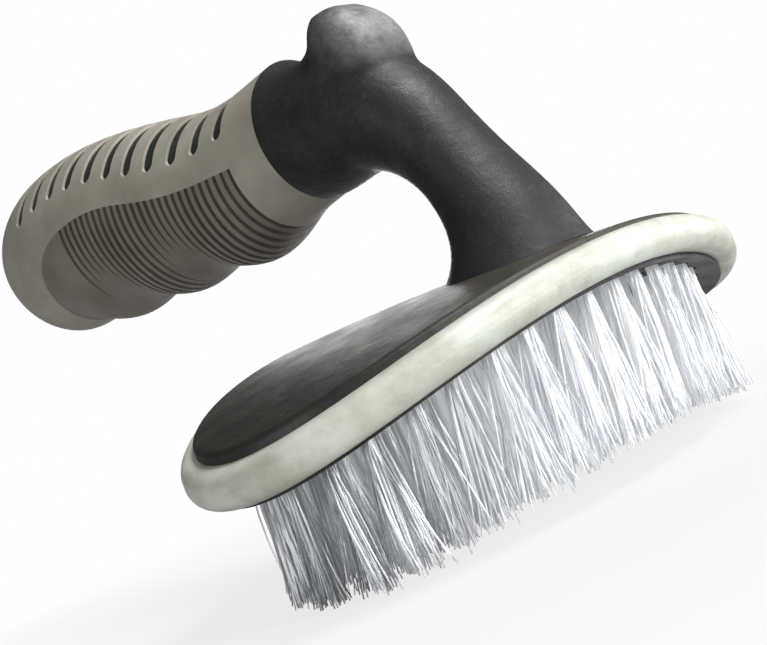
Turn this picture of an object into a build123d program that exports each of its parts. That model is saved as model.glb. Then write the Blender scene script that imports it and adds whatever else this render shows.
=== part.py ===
"""Tyre and wheel scrubbing brush: an arched oval head of stapled tufts under a gooseneck handle.

The brush stands on its tuft tips. The origin is on the floor, under the middle of the head.
+Z is up, X runs along the head's long axis, and the grip reaches back along +Y.
"""

import os
from math import sqrt

from build123d import *

# ---- driving dimensions, in millimetres ----

HEAD_LENGTH = 140
HEAD_WIDTH = 82
BAND_HEIGHT = 38.5  # widest line of the bumper band above the floor, at the middle of the head
END_DROOP = 14.5  # how far that line drops at each end of the head
ARCH_SWEEP = 60  # degrees of the head's arch that are swept, more than its length needs

BAND_TOP = 2.1  # the layers of the head, up from the widest line
BAND_BOTTOM = -4.5
BLOCK_TOP = -1.5
BLOCK_BOTTOM = -5.4
COVER_EDGE = 2.9
COVER_CROWN = 4

COVER_INSET = 3.6  # from the band's outline to the cover and to the block
BLOCK_INSET = 4.7
COVER_WALL = 2.2
BAND_ROUND = 2.9
COVER_ROUND = 1.2

TUFT_FIELD_LENGTH = 113  # across the outer ring of tufts
TUFT_FIELD_WIDTH = 63
TUFT_RING_STEP = 7.4
TUFT_RING_COUNTS = (36, 30, 24, 18)
RING_NAMES = ("outer_ring", "second_ring", "third_ring", "inner_ring", "centre_row")
CENTRE_ROW_PITCH = 9
CENTRE_TUFTS = (-2, -1, 1, 2)  # stations of the centre row
CENTRE_SCREWS = (-3, 0, 3)
TUFT_HOLE_RADIUS = 1.9
TUFT_HOLE_DEPTH = 3
TUFT_ROOT_RADIUS = 1.55
TUFT_TIP_RADIUS = 3.1
TUFT_TIP_RISE = 6  # how much higher the tips are at the middle than at the ends of the head

ANCHOR_LENGTH = 3.4
ANCHOR_THICKNESS = 0.5
ANCHOR_HEIGHT = 1.2
ANCHOR_CLEARANCE = 0.7

BLOCK_SCREW_RADIUS = 1.5
BLOCK_SCREW_HEAD_RADIUS = 2.8
BLOCK_SCREW_HEAD_HEIGHT = 1.6
BLOCK_SCREW_LENGTH = 8.6
SCREW_BOSS_RADIUS = 3.4
SCREW_SOCKET_RADIUS = 1.1
SCREW_SOCKET_DEPTH = 1.2
SCREW_CLEARANCE = 0.2

FOOT_CENTRE_Y = -15
HANDLE_SCREW_X = 7
HANDLE_SCREW_RADIUS = 2
HANDLE_SCREW_HEAD_RADIUS = 3.6
HANDLE_SCREW_HEAD_HEIGHT = 1.8
HANDLE_SCREW_LENGTH = 10
HANDLE_SCREW_SEAT = 1.2  # inner face of the cover above the band's widest line

COLLAR_Y = 22.8  # front end of the grip, where it meets the neck
SLEEVE_WALL = 3.4
PANEL_DEPTH = 1.8
CORE_WALL = 3.2
GRIP_ASPECT = 0.95  # width of the grip over its height

SLOT_COUNT = 11
SLOT_WIDTH = 3
SLOT_DEPTH = 0.6  # how far the core's bars stand back from the sleeve's face in its slots

RIB_COUNT = 27
RIB_FIRST_Y = 33.5
RIB_PITCH = 2.05
RIB_GROOVE_WIDTH = 1
RIB_GROOVE_DEPTH = 0.9

# The line through the lower ends of the slots in side view: y, height.
SLOT_BORDER = (
    (35.2, 47.1),
    (48.5, 47),
    (61.8, 49.4),
    (75.3, 52.6),
    (89.6, 53.8),
    (103.7, 51.7),
)

# Upper and rear border of the ribbed panel in side view: y, height.
PANEL_BORDER = (
    (33.2, 40.6),
    (40, 40.7),
    (48, 41.2),
    (61, 43.4),
    (72, 46),
    (85, 46.2),
    (95.5, 43),
    (102, 36.5),
    (105.5, 28),
    (107.5, 20),
)

# Where the gooseneck passes: station (y, height), tilt of its section, half width, half depth.
# A tilt of 0 is a level section through the arm, and 90 is an upright one through the neck.
GOOSENECK = (
    (-15.1, 1, 0, 17.4, 15.2),
    (-15.4, 5, 0, 14.8, 12.2),
    (-15.6, 10, 0, 12.8, 10.3),
    (-13.7, 16.5, 2, 11.2, 9.1),
    (-10.6, 22.5, 10, 10.3, 8.3),
    (-6.4, 29, 28, 10.4, 8.5),
    (-1, 36, 52, 11.6, 10.4),
    (6.5, 40.8, 76, 13, 12.2),
    (15, 41.8, 90, 14, 13.2),
    (COLLAR_Y, 42.9, 90, 14.6, 14.6),
)

# The thumb horn: y of its middle, height, half width, half depth.
HORN = (
    (5, 38, 8.5, 7.4),
    (4.2, 44, 9.8, 8.6),
    (3.5, 49, 9.4, 8.2),
    (3.7, 54, 8.7, 7.2),
    (4.8, 58, 7, 5.4),
    (5.9, 60.6, 4.4, 3.2),
)
HORN_CORNER = 0.75  # corner radius of the horn's section over its half depth
HORN_BLEND = 6
HORN_TOP_ROUND = 2

# The grip in side view: y, height of its back, height of its belly over the finger swells.
GRIP = (
    (COLLAR_Y, 57.6, 28.2),
    (28, 57, 27.2),
    (34, 56.3, 25.4),
    (40, 56, 23),
    (46.7, 56.5, 21.9),
    (58, 58.9, 22.3),
    (71, 61.7, 22.5),
    (82, 63.4, 22.9),
    (94.5, 64.3, 23.1),
    (105, 63.7, 24),
    (114, 61.8, 25.2),
    (120.5, 58.8, 28),
    (125.4, 54.6, 32.4),
    (128.4, 49, 38),
)
FINGER_VALLEYS = {58: 1.9, 82: 2, 105: 1.6}  # how far the belly is scooped between the swells

# ---- shared geometry ----

half_length = HEAD_LENGTH / 2
half_width = HEAD_WIDTH / 2
arch_radius = (half_length**2 + END_DROOP**2) / (2 * END_DROOP)
arch_axis = Axis((0, 0, BAND_HEIGHT - arch_radius), (0, 1, 0))


def arch_height(x, layer=0):
    """Height above the floor of a layer of the arched head, over x."""
    return BAND_HEIGHT - arch_radius + sqrt((arch_radius + layer) ** 2 - x**2)


def tip_height(x):
    """Height above the floor at which the tufts over x are trimmed."""
    return TUFT_TIP_RISE * (1 - (2 * x / TUFT_FIELD_LENGTH) ** 2)


def tuft_rings():
    """Points of each ring of tufts, outer ring first, with the centre row last."""
    rings = []
    for index, count in enumerate(TUFT_RING_COUNTS):
        reach = TUFT_FIELD_LENGTH / 2 - index * TUFT_RING_STEP
        breadth = TUFT_FIELD_WIDTH / 2 - index * TUFT_RING_STEP
        with BuildLine() as oval:
            EllipticalCenterArc((0, 0), reach, breadth, arc_size=360)
        start = 0.5 * (index % 2)
        rings.append([oval.line @ (((i + start) / count) % 1) for i in range(count)])
    rings.append([Vector(station * CENTRE_ROW_PITCH, 0) for station in CENTRE_TUFTS])
    return rings


def arched_slab(low, high):
    """A slab between two layers of the arch, wider than the head."""
    with BuildPart(mode=Mode.PRIVATE) as slab:
        with BuildSketch(Plane.XZ):
            with Locations((0, BAND_HEIGHT - arch_radius)):
                Circle(arch_radius + high)
                Circle(arch_radius + low, mode=Mode.SUBTRACT)
            with Locations((0, BAND_HEIGHT)):
                Rectangle(1.2 * HEAD_LENGTH, 3 * END_DROOP, mode=Mode.INTERSECT)
        extrude(amount=HEAD_WIDTH, both=True)
    return slab.part


def crowned_slab(low, edge, crown, inset):
    """A slab of the arch whose upper face also crowns across the head."""
    reach = half_width - inset
    start = Plane(arch_axis.position, x_dir=(0, 1, 0), z_dir=(1, 0, 0)).rotated((0, -ARCH_SWEEP / 2, 0))
    with BuildPart(mode=Mode.PRIVATE) as slab:
        with BuildSketch(start):
            with BuildLine():
                ThreePointArc(
                    (-reach, arch_radius + edge),
                    (0, arch_radius + crown),
                    (reach, arch_radius + edge),
                )
                Polyline(
                    (reach, arch_radius + edge),
                    (reach, arch_radius + low),
                    (-reach, arch_radius + low),
                    (-reach, arch_radius + edge),
                )
            make_face()
        revolve(axis=arch_axis, revolution_arc=ARCH_SWEEP)
    return slab.part


def posts(seats, radius, length):
    """Upright round posts of one size, one on each seat; a negative length hangs below it."""
    with BuildPart(mode=Mode.PRIVATE) as group:
        for seat in seats:
            with BuildSketch(Plane.XY.offset(seat.Z)):
                with Locations((seat.X, seat.Y)):
                    Circle(radius)
            extrude(amount=length)
    return group.part


def screws(seats, radius, length, head_radius, head_height):
    """Screws with their heads below their seats and a square socket in each head."""
    with BuildPart(mode=Mode.PRIVATE) as group:
        add(posts(seats, radius, length))
        for seat in seats:
            with BuildSketch(Plane.XY.offset(seat.Z)):
                with Locations((seat.X, seat.Y)):
                    Circle(head_radius)
            extrude(amount=-head_height)
            with BuildSketch(Plane.XY.offset(seat.Z - head_height)):
                with Locations((seat.X, seat.Y)):
                    RegularPolygon(SCREW_SOCKET_RADIUS, 4)
            extrude(amount=SCREW_SOCKET_DEPTH, mode=Mode.SUBTRACT)
    return group.part


rings = tuft_rings()
block_seats = [
    Vector(x, 0, arch_height(x, BLOCK_BOTTOM) + BLOCK_SCREW_HEAD_HEIGHT)
    for x in (station * CENTRE_ROW_PITCH for station in CENTRE_SCREWS)
]
handle_seats = [
    Vector(side * HANDLE_SCREW_X, FOOT_CENTRE_Y, BAND_HEIGHT + HANDLE_SCREW_SEAT) for side in (-1, 1)
]

# ---- the bristle block: an arched plate with a blind hole for each tuft ----

with BuildPart() as tuft_holes:
    with BuildSketch():
        for ring in rings:
            with Locations(*[(point.X, point.Y) for point in ring]):
                Circle(TUFT_HOLE_RADIUS)
    extrude(amount=2 * BAND_HEIGHT)
    add(arched_slab(BLOCK_BOTTOM - 1, BLOCK_BOTTOM + TUFT_HOLE_DEPTH), mode=Mode.INTERSECT)

with BuildPart() as bristle_block:
    with BuildSketch():
        Ellipse(half_length - BLOCK_INSET, half_width - BLOCK_INSET)
    extrude(amount=2 * BAND_HEIGHT)
    add(arched_slab(BLOCK_BOTTOM, BLOCK_TOP), mode=Mode.INTERSECT)
    add(tuft_holes.part, mode=Mode.SUBTRACT)
    add(posts(block_seats, BLOCK_SCREW_HEAD_RADIUS, -BAND_HEIGHT), mode=Mode.SUBTRACT)
    add(posts(block_seats, BLOCK_SCREW_RADIUS, BLOCK_SCREW_LENGTH), mode=Mode.SUBTRACT)
bristle_block.part.label = "bristle_block"

# ---- the head cover: a crowned shell, hollow below, with bosses for the screws ----

with BuildPart() as cover_hollow:
    with BuildSketch():
        Ellipse(half_length - COVER_INSET - COVER_WALL, half_width - COVER_INSET - COVER_WALL)
    extrude(amount=2 * BAND_HEIGHT)
    add(
        crowned_slab(BLOCK_TOP - 1, COVER_EDGE - COVER_WALL, COVER_CROWN - COVER_WALL, COVER_INSET),
        mode=Mode.INTERSECT,
    )

with BuildPart() as head_cover:
    with BuildSketch():
        Ellipse(half_length - COVER_INSET, half_width - COVER_INSET)
    extrude(amount=2 * BAND_HEIGHT)
    add(crowned_slab(BLOCK_TOP - 3, COVER_EDGE, COVER_CROWN, COVER_INSET - 1), mode=Mode.INTERSECT)
    fillet(head_cover.faces().sort_by(Axis.Z)[-1].edges(), COVER_ROUND)
    add(cover_hollow.part, mode=Mode.SUBTRACT)
    add(posts(block_seats, SCREW_BOSS_RADIUS, COVER_CROWN - BLOCK_BOTTOM - BLOCK_SCREW_HEAD_HEIGHT - 1))
    add(arched_slab(BLOCK_TOP, 4 * COVER_CROWN), mode=Mode.INTERSECT)
    add(
        posts(block_seats, BLOCK_SCREW_RADIUS, BLOCK_SCREW_LENGTH - BLOCK_SCREW_HEAD_HEIGHT),
        mode=Mode.SUBTRACT,
    )
    add(posts(handle_seats, HANDLE_SCREW_RADIUS, 4 * COVER_CROWN), mode=Mode.SUBTRACT)
head_cover.part.label = "head_cover"

# ---- the bumper band: a soft ring moulded round the block and the cover's rim ----

with BuildPart() as lower_lip:
    with BuildSketch():
        Ellipse(half_length - COVER_INSET, half_width - COVER_INSET)
        Ellipse(half_length - BLOCK_INSET, half_width - BLOCK_INSET, mode=Mode.SUBTRACT)
    extrude(amount=2 * BAND_HEIGHT)
    add(arched_slab(BAND_BOTTOM, BLOCK_TOP), mode=Mode.INTERSECT)

with BuildPart() as bumper_band:
    with BuildSketch():
        Ellipse(half_length, half_width)
        Ellipse(half_length - COVER_INSET, half_width - COVER_INSET, mode=Mode.SUBTRACT)
    extrude(amount=2 * BAND_HEIGHT)
    add(arched_slab(BAND_BOTTOM, BAND_TOP), mode=Mode.INTERSECT)
    outer_wall = bumper_band.faces().filter_by(GeomType.EXTRUSION).sort_by(SortBy.AREA)[-1]
    fillet(outer_wall.edges(), BAND_ROUND)
    add(lower_lip.part)
bumper_band.part.label = "bumper_band"

# ---- the tufts and the flat wire anchors that hold them in their holes ----


def tuft(point):
    """One tuft: it widens from its hole to its trimmed tips."""
    root = arch_height(point.X, BLOCK_BOTTOM + TUFT_HOLE_DEPTH) - ANCHOR_HEIGHT - ANCHOR_CLEARANCE
    tip = tip_height(point.X)
    with BuildPart(mode=Mode.PRIVATE) as bundle:
        with BuildSketch(Plane.XY.offset(root)):
            with Locations((point.X, point.Y)):
                Circle(TUFT_ROOT_RADIUS)
        with BuildSketch(Plane.XY.offset(tip)):
            with Locations((point.X, point.Y)):
                Circle(TUFT_TIP_RADIUS)
        loft()
    return bundle.part


def anchor(point):
    """One flat wire anchor, standing on edge across the root of its tuft."""
    seat = arch_height(point.X, BLOCK_BOTTOM + TUFT_HOLE_DEPTH) - ANCHOR_HEIGHT - ANCHOR_CLEARANCE
    with BuildPart(mode=Mode.PRIVATE) as strip:
        with BuildSketch(Plane.XY.offset(seat)):
            with Locations((point.X, point.Y)):
                Rectangle(ANCHOR_LENGTH, ANCHOR_THICKNESS)
        extrude(amount=ANCHOR_HEIGHT)
    return strip.part


tufts = {}
anchors = {}
for name, ring in zip(RING_NAMES, rings):
    with BuildPart() as tuft_group:
        for point in ring:
            add(tuft(point))
    tufts[name] = tuft_group.part
    tufts[name].label = f"tufts_{name}"
    with BuildPart() as anchor_group:
        for point in ring:
            add(anchor(point))
    anchors[name] = anchor_group.part
    anchors[name].label = f"anchors_{name}"

# ---- the screws: three through the block into the cover, two through the cover into the handle ----

with BuildPart() as block_screws:
    add(
        screws(
            block_seats,
            BLOCK_SCREW_RADIUS,
            BLOCK_SCREW_LENGTH - BLOCK_SCREW_HEAD_HEIGHT,
            BLOCK_SCREW_HEAD_RADIUS - SCREW_CLEARANCE,
            BLOCK_SCREW_HEAD_HEIGHT,
        )
    )
block_screws.part.label = "block_screws"

with BuildPart() as handle_screws:
    add(
        screws(
            handle_seats,
            HANDLE_SCREW_RADIUS,
            HANDLE_SCREW_LENGTH,
            HANDLE_SCREW_HEAD_RADIUS,
            HANDLE_SCREW_HEAD_HEIGHT,
        )
    )
handle_screws.part.label = "handle_screws"

# ---- the handle body: arm, neck and the hollow core of the grip, in one moulding ----


def grip_body(inset=0, end_inset=0, stations=GRIP, valleys=FINGER_VALLEYS):
    """The grip's outline drawn in by an inset, as a loft over its stations."""
    with BuildPart(mode=Mode.PRIVATE) as body:
        for y, back, belly in stations:
            breadth = GRIP_ASPECT * (back - belly) / 2 - inset
            belly += valleys.get(y, 0)
            depth = (back - belly) / 2 - inset
            middle = BAND_HEIGHT + (back + belly) / 2
            if y == stations[-1][0]:
                y -= end_inset
            with BuildSketch(Plane((0, y, middle), x_dir=(1, 0, 0), z_dir=(0, 1, 0))):
                Ellipse(breadth, depth)
        loft()
    return body.part


with BuildPart() as slots:
    with BuildLine():
        slot_border = Spline(*SLOT_BORDER)
    with BuildSketch(Plane.YZ):
        for i in range(SLOT_COUNT):
            low_end = slot_border @ (i / (SLOT_COUNT - 1))
            with Locations((low_end.X, BAND_HEIGHT + low_end.Y + HEAD_WIDTH / 2)):
                SlotOverall(HEAD_WIDTH, SLOT_WIDTH, rotation=90)
    extrude(amount=HEAD_WIDTH, both=True)

with BuildPart() as slot_bars:
    add(grip_body(SLOT_DEPTH))
    add(slots.part, mode=Mode.INTERSECT)

with BuildPart() as horn:
    for y, height, section_width, section_depth in HORN:
        with BuildSketch(Plane.XY.offset(BAND_HEIGHT + height)):
            with Locations((0, y)):
                RectangleRounded(2 * section_width, 2 * section_depth, HORN_CORNER * section_depth)
    loft()
    fillet(horn.faces().sort_by(Axis.Z)[-1].edges(), HORN_TOP_ROUND)

with BuildPart() as handle_body:
    for y, height, tilt, section_width, section_depth in GOOSENECK:
        normal = Vector(0, 0, 1).rotate(Axis.X, -tilt)
        with BuildSketch(Plane((0, y, BAND_HEIGHT + height), x_dir=(1, 0, 0), z_dir=normal)):
            Ellipse(section_width, section_depth)
    loft()
    add(horn.part)
    fillet(handle_body.edges(Select.NEW), HORN_BLEND)
    add(grip_body(SLEEVE_WALL, SLEEVE_WALL))
    add(slot_bars.part)
    add(crowned_slab(BLOCK_TOP, COVER_EDGE, COVER_CROWN, 0), mode=Mode.SUBTRACT)
    add(grip_body(SLEEVE_WALL + CORE_WALL, stations=GRIP[1:-1]), mode=Mode.SUBTRACT)
    add(posts(handle_seats, HANDLE_SCREW_RADIUS, HANDLE_SCREW_LENGTH), mode=Mode.SUBTRACT)
handle_body.part.label = "handle_body"

# ---- the grip: a soft sleeve moulded over the core, slotted on its back ----

grip_outside = grip_body()
grip_middle = BAND_HEIGHT + (GRIP[0][1] + GRIP[0][2]) / 2

with BuildPart() as panel_zone:
    with BuildSketch(Plane.YZ):
        with BuildLine():
            Spline(*[(y, BAND_HEIGHT + height) for y, height in PANEL_BORDER])
            Polyline(
                (PANEL_BORDER[-1][0], BAND_HEIGHT + PANEL_BORDER[-1][1]),
                (PANEL_BORDER[-1][0], BAND_HEIGHT),
                (PANEL_BORDER[0][0], BAND_HEIGHT),
                (PANEL_BORDER[0][0], BAND_HEIGHT + PANEL_BORDER[0][1]),
            )
        make_face()
    extrude(amount=HEAD_WIDTH, both=True)

with BuildPart() as rib_grooves:
    with BuildSketch(Plane.YZ):
        with Locations(*[(RIB_FIRST_Y + i * RIB_PITCH, grip_middle) for i in range(RIB_COUNT)]):
            Rectangle(RIB_GROOVE_WIDTH, HEAD_WIDTH)
    extrude(amount=HEAD_WIDTH, both=True)
    add(grip_body(RIB_GROOVE_DEPTH, valleys={}), mode=Mode.SUBTRACT)

with BuildPart() as grip_panel:
    add(grip_outside)
    add(grip_body(PANEL_DEPTH), mode=Mode.SUBTRACT)
    add(panel_zone.part, mode=Mode.INTERSECT)

with BuildPart() as grip_sleeve:
    add(grip_outside)
    add(grip_body(SLEEVE_WALL, SLEEVE_WALL), mode=Mode.SUBTRACT)
    add(grip_panel.part, mode=Mode.SUBTRACT)
    add(slots.part, mode=Mode.SUBTRACT)
grip_sleeve.part.label = "grip_sleeve"

with grip_panel:
    add(rib_grooves.part, mode=Mode.SUBTRACT)
grip_panel.part.label = "grip_panel"

# ---- the finished pieces, one file each ----

pieces = [bristle_block, head_cover, bumper_band, block_screws, handle_screws]
pieces += [handle_body, grip_sleeve, grip_panel]
os.makedirs("parts", exist_ok=True)
for piece in [builder.part for builder in pieces] + [*tufts.values(), *anchors.values()]:
    export_step(piece, f"parts/{piece.label}.step")
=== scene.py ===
"""Studio scene of the wheel brush: the CAD frame, its finishes, and its tufts as loose filaments."""

import random
from math import cos, pi, radians, sin, sqrt

import bmesh
import bpy
from mathutils import Matrix, Vector


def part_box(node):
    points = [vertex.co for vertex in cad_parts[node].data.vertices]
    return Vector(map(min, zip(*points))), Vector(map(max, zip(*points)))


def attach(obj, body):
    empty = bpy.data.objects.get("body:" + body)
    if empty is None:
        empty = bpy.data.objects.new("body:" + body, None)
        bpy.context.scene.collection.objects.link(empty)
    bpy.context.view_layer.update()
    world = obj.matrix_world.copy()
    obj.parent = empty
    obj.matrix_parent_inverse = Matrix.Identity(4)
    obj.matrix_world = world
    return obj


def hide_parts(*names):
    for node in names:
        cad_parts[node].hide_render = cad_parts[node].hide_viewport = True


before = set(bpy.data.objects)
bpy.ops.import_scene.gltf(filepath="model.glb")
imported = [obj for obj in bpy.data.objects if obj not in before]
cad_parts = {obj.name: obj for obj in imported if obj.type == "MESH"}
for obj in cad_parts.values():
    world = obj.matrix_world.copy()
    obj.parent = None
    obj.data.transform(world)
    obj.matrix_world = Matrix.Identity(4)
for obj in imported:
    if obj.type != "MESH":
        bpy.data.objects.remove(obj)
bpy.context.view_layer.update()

MM = 0.001  # the design is in millimetres, and Blender's frame is in metres
UP = Vector((0, 0, 1))

# ---- camera, lights and floor ----

CAMERA_AZIMUTH = radians(-46.36)
CAMERA_ELEVATION = radians(-0.26)
CAMERA_ROLL = radians(20.57)
CAMERA_AIM = Vector((-11.2, 11.7, 39.9)) * MM
CAMERA_DISTANCE = 262.8 * MM
CAMERA_LENS = 65.52
SENSOR_WIDTH = 36
CLIP_START = 10 * MM

# name, place from the aim in metres (right, up, towards the camera), side of the square, power
LIGHTS = (
    ("right key", (0.6, 0.16, 0.4), 0.22, 5.2),
    ("overhead", (0.3, 0.55, 0.05), 0.22, 4.4),
    ("low rim", (0.7, 0.05, -0.3), 0.25, 2.6),
    ("back rim", (0.05, 0.08, -0.7), 0.3, 2.5),
    ("left fill", (-0.4, 0.04, 0.62), 0.25, 2.7),
)
WHITE = (1, 1, 1, 1)
SURROUND_LIGHT = 0.13  # what the white surround adds to the lights

FLOOR_HALF_SIZE = 30
FLOOR_GREY = (0.45, 0.45, 0.45, 1)
FLOOR_FADE = (0.06, 0.18)  # distance from the origin over which the floor turns white
FLOOR_GLOW = (0.78, 1)  # how white it is before and after that


def place_camera():
    """Almost level with the head, off its front left corner, and rolled clockwise."""
    right = Vector((cos(CAMERA_AZIMUTH), sin(CAMERA_AZIMUTH), 0))
    level = cos(CAMERA_ELEVATION)
    back = Vector((sin(CAMERA_AZIMUTH) * level, -cos(CAMERA_AZIMUTH) * level, sin(CAMERA_ELEVATION)))
    up = back.cross(right)
    turned_right = cos(CAMERA_ROLL) * right - sin(CAMERA_ROLL) * up
    turned_up = sin(CAMERA_ROLL) * right + cos(CAMERA_ROLL) * up
    data = bpy.data.cameras.new("camera")
    data.lens = CAMERA_LENS
    data.sensor_width = SENSOR_WIDTH
    data.clip_start = CLIP_START
    camera = bpy.data.objects.new("camera", data)
    bpy.context.scene.collection.objects.link(camera)
    turn = Matrix((turned_right, turned_up, back)).transposed().to_4x4()
    camera.matrix_world = Matrix.Translation(CAMERA_AIM + back * CAMERA_DISTANCE) @ turn
    bpy.context.scene.camera = camera
    return right, back


def add_light(name, place, size, power):
    """A square soft light that faces the aim."""
    data = bpy.data.lights.new(name, "AREA")
    data.shape = "SQUARE"
    data.size = size
    data.energy = power
    light = bpy.data.objects.new(name, data)
    bpy.context.scene.collection.objects.link(light)
    light.location = place
    light.rotation_euler = (CAMERA_AIM - place).to_track_quat("-Z", "Y").to_euler()


def light_studio(right, back):
    """The soft lights, and a surround that is dim as a light and white to the camera."""
    for name, (to_right, to_up, to_back), size, power in LIGHTS:
        add_light(name, CAMERA_AIM + to_right * right + to_up * UP + to_back * back, size, power)
    world = bpy.data.worlds.new("white surround")
    bpy.context.scene.world = world
    world.use_nodes = True
    nodes, links = world.node_tree.nodes, world.node_tree.links
    lighting = nodes["Background"]
    lighting.inputs["Color"].default_value = WHITE
    lighting.inputs["Strength"].default_value = SURROUND_LIGHT
    seen = nodes.new("ShaderNodeBackground")
    seen.inputs["Color"].default_value = WHITE
    path = nodes.new("ShaderNodeLightPath")
    mix = nodes.new("ShaderNodeMixShader")
    links.new(path.outputs["Is Camera Ray"], mix.inputs["Fac"])
    links.new(lighting.outputs["Background"], mix.inputs[1])
    links.new(seen.outputs["Background"], mix.inputs[2])
    links.new(mix.outputs["Shader"], nodes["World Output"].inputs["Surface"])


def lay_floor():
    """A pale floor that fades into the white surround, so that no edge of it shows."""
    bm = bmesh.new()
    bmesh.ops.create_grid(bm, x_segments=1, y_segments=1, size=FLOOR_HALF_SIZE)
    floor = finish_mesh(bm, "floor")
    finish = Finish("pale floor")
    finish.set(Base_Color=FLOOR_GREY, Roughness=0.9)
    nodes, links = finish.nodes, finish.links
    reach = nodes.new("ShaderNodeVectorMath")
    reach.operation = "LENGTH"
    links.new(finish.place, reach.inputs[0])
    fade = finish.remap(reach.outputs["Value"], FLOOR_FADE, FLOOR_GLOW)
    path = nodes.new("ShaderNodeLightPath")
    seen_fade = finish.times(fade, path.outputs["Is Camera Ray"])
    glow = nodes.new("ShaderNodeEmission")
    mix = nodes.new("ShaderNodeMixShader")
    links.new(seen_fade, mix.inputs["Fac"])
    links.new(finish.shader.outputs["BSDF"], mix.inputs[1])
    links.new(glow.outputs["Emission"], mix.inputs[2])
    links.new(mix.outputs["Shader"], nodes["Material Output"].inputs["Surface"])
    floor.data.materials.append(finish.paint)


# ---- helpers for meshes and materials ----


def finish_mesh(bm, name, smooth=False):
    """Turn a bmesh into a linked object at the origin."""
    mesh = bpy.data.meshes.new(name)
    bm.to_mesh(mesh)
    bm.free()
    if smooth:
        mesh.shade_smooth()
    piece = bpy.data.objects.new(name, mesh)
    bpy.context.scene.collection.objects.link(piece)
    return piece


class Finish:
    """Short words for wiring the nodes of one material."""

    def __init__(self, name):
        self.paint = bpy.data.materials.new(name)
        self.paint.use_nodes = True
        self.nodes = self.paint.node_tree.nodes
        self.links = self.paint.node_tree.links
        self.shader = self.nodes["Principled BSDF"]
        self.place = self.nodes.new("ShaderNodeTexCoord").outputs["Object"]

    def set(self, **values):
        """Constants set straight on the shader's sockets."""
        for socket, value in values.items():
            self.shader.inputs[socket.replace("_", " ")].default_value = value

    def join(self, value, socket):
        """Wire a value to one of the shader's sockets."""
        self.links.new(value, self.shader.inputs[socket])

    def noise(self, per_mm, detail=4, roughness=0.55, stretch=(1, 1, 1)):
        """Noise on the object's own coordinates, with its scale in features per millimetre."""
        mapping = self.nodes.new("ShaderNodeMapping")
        mapping.inputs["Scale"].default_value = stretch
        self.links.new(self.place, mapping.inputs["Vector"])
        texture = self.nodes.new("ShaderNodeTexNoise")
        texture.inputs["Scale"].default_value = per_mm / MM
        texture.inputs["Detail"].default_value = detail
        texture.inputs["Roughness"].default_value = roughness
        self.links.new(mapping.outputs["Vector"], texture.inputs["Vector"])
        return texture.outputs["Fac"]

    def cells(self, per_mm):
        """Distance to the nearest cell point: the pebbled grain of a moulded skin."""
        texture = self.nodes.new("ShaderNodeTexVoronoi")
        texture.inputs["Scale"].default_value = per_mm / MM
        self.links.new(self.place, texture.inputs["Vector"])
        return texture.outputs["Distance"]

    def ramp(self, value, *stops):
        """A colour ramp from (position, colour) stops."""
        node = self.nodes.new("ShaderNodeValToRGB")
        self.links.new(value, node.inputs["Fac"])
        steps = node.color_ramp.elements
        while len(steps) < len(stops):
            steps.new(0.5)
        for step, (position, colour) in zip(steps, stops):
            step.position = position
            step.color = (*colour, 1)
        return node.outputs["Color"]

    def remap(self, value, between, to):
        """Stretch the part of a value that lies between two limits to two new ones."""
        node = self.nodes.new("ShaderNodeMapRange")
        self.links.new(value, node.inputs["Value"])
        node.inputs["From Min"].default_value, node.inputs["From Max"].default_value = between
        node.inputs["To Min"].default_value, node.inputs["To Max"].default_value = to
        return node.outputs["Result"]

    def along(self, axis, between, to=(0, 1)):
        """Go from one value to another between two places on an axis, given in millimetres."""
        split = self.nodes.new("ShaderNodeSeparateXYZ")
        self.links.new(self.place, split.inputs["Vector"])
        return self.remap(split.outputs[axis], [place * MM for place in between], to)

    def times(self, first, second):
        """Multiply two values."""
        node = self.nodes.new("ShaderNodeMath")
        node.operation = "MULTIPLY"
        self.links.new(first, node.inputs[0])
        self.links.new(second, node.inputs[1])
        return node.outputs["Value"]

    def mix(self, factor, first, second):
        """Mix a colour socket with a plain colour."""
        node = self.nodes.new("ShaderNodeMix")
        node.data_type = "RGBA"
        self.links.new(factor, node.inputs[0])
        self.links.new(first, node.inputs[6])
        node.inputs[7].default_value = (*second, 1)
        return node.outputs[2]

    def bump(self, *layers):
        """Stack bump layers of (height, depth in millimetres)."""
        normal = None
        for height, depth in layers:
            node = self.nodes.new("ShaderNodeBump")
            node.inputs["Distance"].default_value = depth * MM
            self.links.new(height, node.inputs["Height"])
            if normal:
                self.links.new(normal, node.inputs["Normal"])
            normal = node.outputs["Normal"]
        self.join(normal, "Normal")


# ---- finishes ----

MIDDLE = (0.3, 0.7)  # the part of a noise's range that holds nearly all of it


def black_polypropylene(name, dark, light, scuffed, painted_sheen, painted_sheen_places):
    """Matte black moulding: fine grain, cloudy sheen and hairline scuffs, and a painted sheen, paler in one
    place.

    Each place of painted sheen is an axis and the two places on it between which the painted sheen sets in.
    """
    finish = Finish(name)
    clouds = finish.noise(0.12, detail=6, roughness=0.62)
    mottle = finish.noise(0.35, detail=7, roughness=0.7)
    scuffs = finish.noise(0.8, detail=7, roughness=0.7, stretch=(0.25, 0.6, 1))
    tone = finish.ramp(clouds, (0.36, dark), (0.64, light))
    tone = finish.mix(finish.remap(scuffs, between=(0.56, 0.76), to=(0, 0.55)), tone, scuffed)
    # painted sheen: a mottled paler base colour that stands in for light catching the surface, faded in over
    # each given place
    painted_sheen_mask = finish.remap(mottle, between=(0.35, 0.68), to=(0.35, 1))
    for axis, between in painted_sheen_places:
        painted_sheen_mask = finish.times(painted_sheen_mask, finish.along(axis, between))
    finish.join(finish.mix(painted_sheen_mask, tone, painted_sheen), "Base Color")
    finish.join(finish.remap(clouds, MIDDLE, to=(0.6, 0.42)), "Roughness")
    finish.set(Specular_IOR_Level=0.32)
    finish.bump((finish.cells(3), 0.02), (finish.noise(0.5, detail=6), 0.12), (mottle, 0.12))
    return finish.paint


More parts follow.
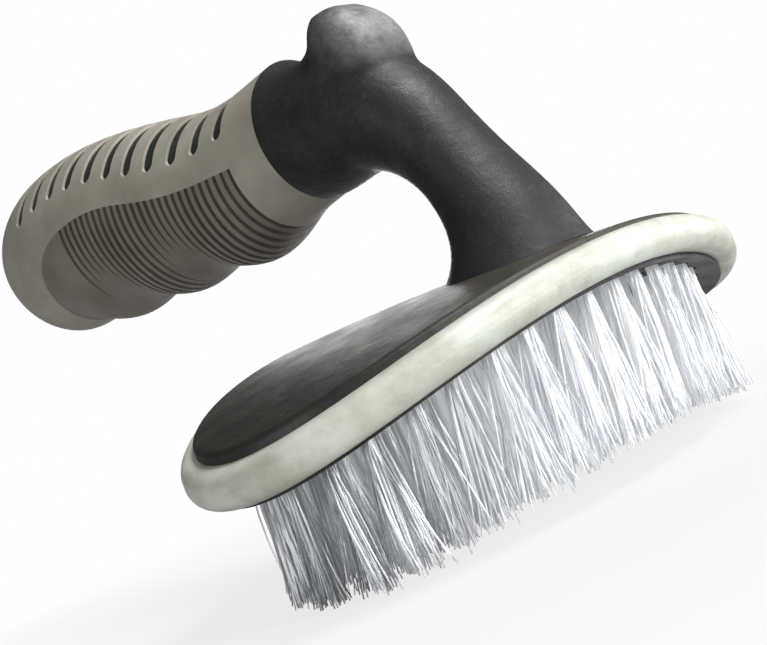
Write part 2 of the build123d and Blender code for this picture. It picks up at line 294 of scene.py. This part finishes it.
def band_rubber():
    """Pale grey-green soft rubber, blotched where it has been handled and dirty at one end."""
    finish = Finish("band rubber")
    blotches = finish.noise(0.1, detail=7, roughness=0.65)
    smears = finish.noise(0.3, detail=6, roughness=0.65, stretch=(0.3, 0.5, 1))
    tone = finish.ramp(
        blotches, (0.3, (0.3, 0.315, 0.245)), (0.5, (0.43, 0.45, 0.385)), (0.72, (0.53, 0.553, 0.515))
    )
    tone = finish.mix(finish.remap(smears, between=(0.52, 0.76), to=(0, 0.5)), tone, (0.29, 0.29, 0.225))
    dirt = finish.remap(smears, between=(0.42, 0.62), to=(0.35, 0.9))
    dirt = finish.times(finish.along("X", between=(8, 42)), dirt)
    finish.join(finish.mix(dirt, tone, (0.31, 0.295, 0.25)), "Base Color")
    finish.join(finish.remap(smears, MIDDLE, to=(0.38, 0.6)), "Roughness")
    finish.bump((finish.noise(3, detail=2), 0.015), (finish.noise(0.2), 0.12))
    return finish.paint


def grip_rubber(name, dark, light, rough):
    """Soft matte grip rubber with a fine grain and faint soiling."""
    finish = Finish(name)
    clouds = finish.noise(0.08, detail=5)
    specks = finish.noise(1.8, detail=4)
    soiled = tuple(0.6 * channel for channel in dark)
    tone = finish.ramp(clouds, (0.3, dark), (0.7, light))
    tone = finish.mix(finish.remap(specks, between=(0.6, 0.85), to=(0, 0.35)), tone, soiled)
    finish.join(tone, "Base Color")
    finish.join(finish.remap(clouds, MIDDLE, to=(rough + 0.06, rough - 0.06)), "Roughness")
    finish.bump((finish.cells(3), 0.02), (finish.noise(0.5), 0.05))
    return finish.paint


def bristle_nylon():
    """Milky nylon filament, with painted shade in grey clumps towards one end of the head and a painted glow
    over the rest of it.
    """
    finish = Finish("bristle nylon")
    each = finish.nodes.new("ShaderNodeNewGeometry").outputs["Random Per Island"]
    clumps = finish.noise(0.4, detail=3, stretch=(1, 1, 0.1))
    tone = finish.ramp(each, (0.0, (0.42, 0.45, 0.5)), (0.4, (0.87, 0.89, 0.92)), (1.0, (0.98, 0.98, 0.98)))
    # painted shade: grey clumps between the filaments, strongest at the head's -X end and faint elsewhere
    grey = finish.remap(clumps, between=(0.43, 0.54), to=(0.85, 0))
    grey = finish.times(grey, finish.along("X", between=(-54, -22), to=(1, 0.15)))
    finish.join(finish.mix(grey, tone, (0.15, 0.16, 0.19)), "Base Color")
    # painted glow: the filaments emit light, faint at the head's -X end and stronger over the rest of the
    # head
    finish.set(Roughness=0.45, Emission_Color=(0.95, 0.965, 0.985, 1))
    finish.join(finish.along("X", between=(-62, -30), to=(0.02, 0.16)), "Emission Strength")
    return finish.paint


def drawn_metal(name, per_mm, stretch, dark, light, rough):
    """Bare metal with a faint grain along one direction."""
    finish = Finish(name)
    grain = finish.noise(per_mm, stretch=stretch)
    finish.join(finish.ramp(grain, (0.3, dark), (0.7, light)), "Base Color")
    finish.join(finish.remap(grain, MIDDLE, to=rough), "Roughness")
    finish.set(Metallic=1)
    return finish.paint


def dress(paint, *nodes):
    """Give CAD nodes their finish."""
    for node in nodes:
        item = bpy.data.objects[node]
        item.data.materials.clear()
        item.data.materials.append(paint)


# ---- bristles ----

RINGS = ("outer_ring", "second_ring", "third_ring", "inner_ring", "centre_row")
RANDOM_SEED = 7
FILAMENTS_PER_TUFT = 66
STRANDS_PER_TUFT = 8  # groups of filaments that cling together
STRAND_FRAY = 0.8 * MM  # how far the tips stray from their strand
STRAY_FRAY = 2 * MM
STRAY_SHARE = 0.18  # share of the filaments that stray the most
EDGE_HOLD = 0.85  # share of the outward lean that is held back at the head's edge
FILAMENT_RADIUS = 0.22 * MM
FILAMENT_SIDES = 4
FILAMENT_JOINTS = 5
FILAMENT_TAPER = 0.75
TUFT_ROOT = 1.25 * MM
TUFT_REACH = 3.9 * MM  # how far the strands' tips stand from the tuft's own line
TUFT_FLARE = 0.9  # how much a filament's place at the root carries over to its tip
FLARE_POWER = 1.15
HOOK_POWER = 4
BOW = 0.55 * MM  # swing of a filament's middle
HOOK = 0.4 * MM  # swing of its last part
TIP_RISE, TIP_RISE_SPREAD = 0.7, 0.6  # tips above the trimmed face, in millimetres
MERGE_DISTANCE = 0.01 * MM

band_low, band_high = (Vector(corner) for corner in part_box("bumper_band"))
HEAD_HALF_LENGTH = band_high.x
HEAD_HALF_WIDTH = band_high.y


def loose_parts(bm):
    """The vertices of each loose part of a bmesh, one set at a time."""
    left = set(bm.verts)
    while left:
        start = left.pop()
        part, queue = {start}, [start]
        while queue:
            for edge in queue.pop().link_edges:
                for vert in edge.verts:
                    if vert not in part:
                        part.add(vert)
                        queue.append(vert)
        left -= part
        yield part


def tuft_lines(node):
    """The root and the tip of each tuft of a node, from the loose solids of its CAD mesh."""
    bm = bmesh.new()
    bm.from_mesh(bpy.data.objects[node].data)
    bmesh.ops.remove_doubles(bm, verts=bm.verts, dist=MERGE_DISTANCE)
    lines = []
    for part in loose_parts(bm):
        places = [vert.co for vert in part]
        middle = [(min(co[i] for co in places) + max(co[i] for co in places)) / 2 for i in (0, 1)]
        root = Vector((*middle, max(co.z for co in places)))
        tip = Vector((*middle, min(co.z for co in places)))
        lines.append((root, tip))
    bm.free()
    return sorted(lines, key=lambda line: (round(line[0].x, 5), round(line[0].y, 5)))


def straight_filament():
    """One filament as a square tapered rod of unit length, with joints to bend at."""
    bm = bmesh.new()
    bmesh.ops.create_cone(
        bm,
        cap_ends=True,
        segments=FILAMENT_SIDES,
        radius1=FILAMENT_RADIUS,
        radius2=FILAMENT_TAPER * FILAMENT_RADIUS,
        depth=1,
    )
    bmesh.ops.translate(bm, verts=bm.verts, vec=(0, 0, 0.5))
    long_edges = [edge for edge in bm.edges if abs(edge.verts[0].co.z - edge.verts[1].co.z) > 0.5]
    bmesh.ops.subdivide_edges(bm, edges=long_edges, cuts=FILAMENT_JOINTS - 1)
    mesh = bpy.data.meshes.new("straight_filament")
    bm.to_mesh(mesh)
    bm.free()
    return mesh


def around(draw, reach):
    """A level offset in any direction, spread evenly over a disc."""
    angle = draw.uniform(0, 2 * pi)
    return Vector((cos(angle), sin(angle), 0)) * reach * sqrt(draw.random())


def scatter(draw, spread):
    """A level offset in any direction, mostly a short one."""
    return Vector((draw.gauss(0, spread), draw.gauss(0, spread), 0))


def bend_filament(verts, start, end, bow, hook):
    """Lay the vertices of a straight filament on a bowed line from its root down to its tip."""
    for vert in verts:
        along = vert.co.z
        side = Vector((vert.co.x, vert.co.y, 0))
        swing = bow * sin(pi * along) + hook * along**HOOK_POWER
        vert.co = start.lerp(end, along**FLARE_POWER) + swing + side
        vert.co.z = start.z + (end.z - start.z) * along


def grow_tuft(root, tip, straight, draw):
    """A sheaf of filaments in a few strands, which cross and fray towards their tips."""
    bm = bmesh.new()
    outward = Vector((root.x / HEAD_HALF_LENGTH, root.y / HEAD_HALF_WIDTH, 0))
    outward /= max(1, outward.length)
    strands = [around(draw, TUFT_REACH) for _ in range(STRANDS_PER_TUFT)]
    for index in range(FILAMENTS_PER_TUFT):
        start = root + around(draw, TUFT_ROOT)
        fray = STRAY_FRAY if draw.random() < STRAY_SHARE else STRAND_FRAY
        lean = strands[index % STRANDS_PER_TUFT] + (start - root) * TUFT_FLARE
        lean += scatter(draw, fray)
        lean -= outward * max(0, lean.dot(outward)) * EDGE_HOLD
        end = tip + lean
        end.z = max(FILAMENT_RADIUS, tip.z + draw.gauss(TIP_RISE, TIP_RISE_SPREAD) * MM)
        bow = scatter(draw, BOW)
        hook = scatter(draw, HOOK)
        bm.from_mesh(straight)
        newest = list(bm.verts)[-FILAMENT_SIDES * (FILAMENT_JOINTS + 1):]
        bend_filament(newest, start, end, bow, hook)
    # the filaments were turned upside down, which leaves their faces pointing inwards
    bmesh.ops.reverse_faces(bm, faces=bm.faces)
    return bm


def grow_ring(node, paint, straight, draw):
    """Replace a ring's plain tufts with sheaves of loose filaments."""
    ring = bmesh.new()
    for root, tip in tuft_lines(node):
        tuft = grow_tuft(root, tip, straight, draw)
        mesh = bpy.data.meshes.new("tuft")
        tuft.to_mesh(mesh)
        tuft.free()
        ring.from_mesh(mesh)
        bpy.data.meshes.remove(mesh)
    piece = finish_mesh(ring, f"{node}_filaments", smooth=True)
    piece.data.materials.append(paint)
    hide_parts(node)
    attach(piece, "root")


# ---- the whole brush ----

right, back = place_camera()
light_studio(right, back)
lay_floor()
bpy.context.scene.view_settings.view_transform = "Standard"

black = black_polypropylene(
    "black polypropylene",
    dark=(0.0065, 0.007, 0.0072),
    light=(0.017, 0.018, 0.017),
    scuffed=(0.052, 0.052, 0.047),
    # painted highlight: the pale sheen on the horn's front stands in for the light falling on that face
    painted_sheen=(0.27, 0.281, 0.272),
    painted_sheen_places=(("Z", (85, 93)), ("Y", (9, -3))),  # the horn's front
)
cover_black = black_polypropylene(
    "cover polypropylene",
    dark=(0.007, 0.0068, 0.006),
    light=(0.019, 0.018, 0.015),
    scuffed=(0.07, 0.066, 0.055),
    # painted sheen: the brownish paler tone, rising from near the cover's left end to its middle and right,
    # stands in for light glancing off its top
    painted_sheen=(0.06, 0.054, 0.04),
    painted_sheen_places=(("X", (-50, -5)),),
)
sleeve_rubber = grip_rubber("grip rubber", (0.235, 0.217, 0.176), (0.33, 0.311, 0.26), rough=0.55)
panel_rubber = grip_rubber("panel rubber", (0.125, 0.112, 0.092), (0.18, 0.161, 0.138), rough=0.6)
zinc = drawn_metal("screw zinc", 2, (1, 1, 0.1), (0.5, 0.5, 0.52), (0.68, 0.68, 0.7), rough=(0.3, 0.45))
brass = drawn_metal("anchor brass", 3, (0.1, 1, 1), (0.55, 0.4, 0.18), (0.72, 0.55, 0.27), rough=(0.25, 0.4))
nylon = bristle_nylon()

dress(black, "handle_body", "bristle_block")
dress(cover_black, "head_cover")
dress(band_rubber(), "bumper_band")
dress(sleeve_rubber, "grip_sleeve")
dress(panel_rubber, "grip_panel")
dress(zinc, "block_screws", "handle_screws")

straight = straight_filament()
draw = random.Random(RANDOM_SEED)
for ring in RINGS:
    dress(brass, f"anchors_{ring}")
    dress(nylon, f"tufts_{ring}")
    grow_ring(f"tufts_{ring}", nylon, straight, draw)
